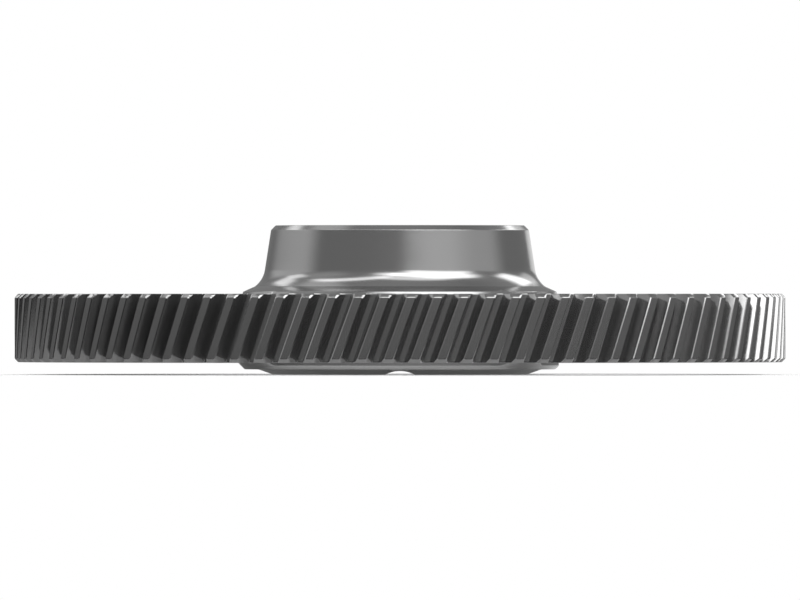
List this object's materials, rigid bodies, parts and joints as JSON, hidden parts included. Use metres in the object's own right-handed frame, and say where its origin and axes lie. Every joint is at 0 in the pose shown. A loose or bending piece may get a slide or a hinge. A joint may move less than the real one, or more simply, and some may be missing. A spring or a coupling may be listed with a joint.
{
  "type": "counterweight gear",
  "caption": "Right-hand helical gear with a tall hub and a web that is solid on one side and open on the other, so its mass lies off the axis.",
  "frame": {"origin": "centre of the bore in the plane of the boss's face, which is the lowest face", "axes": "+Z along the bore towards the tall end of the hub, -X through the middle of the solid, heavy side of the web"},
  "size_m": [0.248, 0.248, 0.048],
  "materials": {
    "steel": "satin"
  },
  "bodies": {
    "root": {"gear": "steel"}
  },
  "joints": []
}
